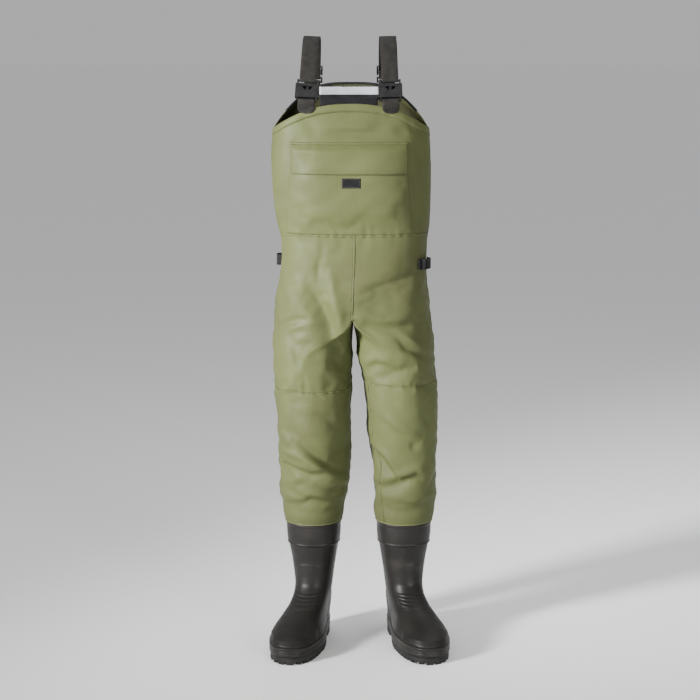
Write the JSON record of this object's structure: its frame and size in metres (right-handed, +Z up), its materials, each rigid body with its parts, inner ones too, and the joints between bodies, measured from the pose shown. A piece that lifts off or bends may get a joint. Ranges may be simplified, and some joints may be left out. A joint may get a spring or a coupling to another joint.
{
  "type": "chest waders",
  "caption": "Olive nylon chest waders with a bib pocket, elastic braces with release buckles, belt loops and welded rubber boots.",
  "frame": {"origin": "on the ground under the middle of the bounding box", "axes": "+Z up, the longest extent; the wearer faces -Y; +X is the wearer's left"},
  "size_m": [0.4426, 0.3422, 1.4988],
  "materials": {
    "shell_cloth": "satin woven nylon, coated inside",
    "inner_cloth": "matte knit",
    "white_tape": "satin tape",
    "black_webbing": "matte woven",
    "label": "matte woven",
    "brace_webbing": "ribbed elastic webbing",
    "buckle_plastic": "moulded, fine texture",
    "boot_rubber": "moulded, soft sheen",
    "boot_lining": "knit",
    "sole_rubber": "moulded, matte",
    "weld_tape": "matte"
  },
  "bodies": {
    "garment": {"front_bib": "shell_cloth", "back_bib": "shell_cloth", "right_thigh_front": "shell_cloth", "left_thigh_front": "shell_cloth", "right_shin_front": "shell_cloth", "left_shin_front": "shell_cloth", "right_leg_back": "shell_cloth", "left_leg_back": "shell_cloth", "pocket_pouch": "shell_cloth", "inner_pocket": "inner_cloth", "back_tape": "white_tape", "back_binding": "black_webbing", "right_belt_loop": "black_webbing", "left_belt_loop": "black_webbing", "label_patch": "label", "right_front_tab": "brace_webbing", "left_front_tab": "brace_webbing", "right_brace": "brace_webbing", "left_brace": "brace_webbing", "right_back_tab": "brace_webbing", "left_back_tab": "brace_webbing", "right_buckle_socket": "buckle_plastic", "left_buckle_socket": "buckle_plastic", "right_back_ring": "buckle_plastic", "left_back_ring": "buckle_plastic", "right_boot_shell": "boot_rubber", "left_boot_shell": "boot_rubber", "right_rand": "boot_rubber", "left_rand": "boot_rubber", "right_toe_cap": "boot_rubber", "left_toe_cap": "boot_rubber", "right_heel_counter": "boot_rubber", "left_heel_counter": "boot_rubber", "right_instep_pad": "boot_rubber", "left_instep_pad": "boot_rubber", "right_cuff_band": "boot_rubber", "left_cuff_band": "boot_rubber", "right_boot_lining": "boot_lining", "left_boot_lining": "boot_lining", "right_insole": "boot_lining", "left_insole": "boot_lining", "right_outsole": "sole_rubber", "left_outsole": "sole_rubber", "right_heel_block": "sole_rubber", "left_heel_block": "sole_rubber", "right_weld_band": "weld_tape", "left_weld_band": "weld_tape"},
    "flap": {"pocket_flap": "shell_cloth"},
    "right_plug": {"right_buckle_plug": "buckle_plastic"},
    "left_plug": {"left_buckle_plug": "buckle_plastic"},
    "right_slider": {"right_adjuster": "buckle_plastic"},
    "left_slider": {"left_adjuster": "buckle_plastic"}
  },
  "joints": [
    {"name": "pocket_flap_hinge", "type": "hinge", "parent": "garment", "child": "flap", "pos_m": [-0.025, -0.0782, 1.2465], "axis": [-1, 0, 0], "range_deg": [0, 110]},
    {"name": "right_buckle_release", "type": "slide", "parent": "garment", "child": "right_plug", "axis": [0.0617, 0.452, 0.8899], "range_m": [0, 0.03], "deforming": ["right_brace"]},
    {"name": "left_buckle_release", "type": "slide", "parent": "garment", "child": "left_plug", "axis": [-0.0297, 0.4535, 0.8908], "range_m": [0, 0.03], "deforming": ["left_brace"]},
    {"name": "right_adjuster_slide", "type": "slide", "parent": "garment", "child": "right_slider", "axis": [0.0284, -0.4553, 0.8899], "range_m": [0, 0.04]},
    {"name": "left_adjuster_slide", "type": "slide", "parent": "garment", "child": "left_slider", "axis": [-0.0107, -0.4543, 0.8908], "range_m": [0, 0.04]}
  ]
}
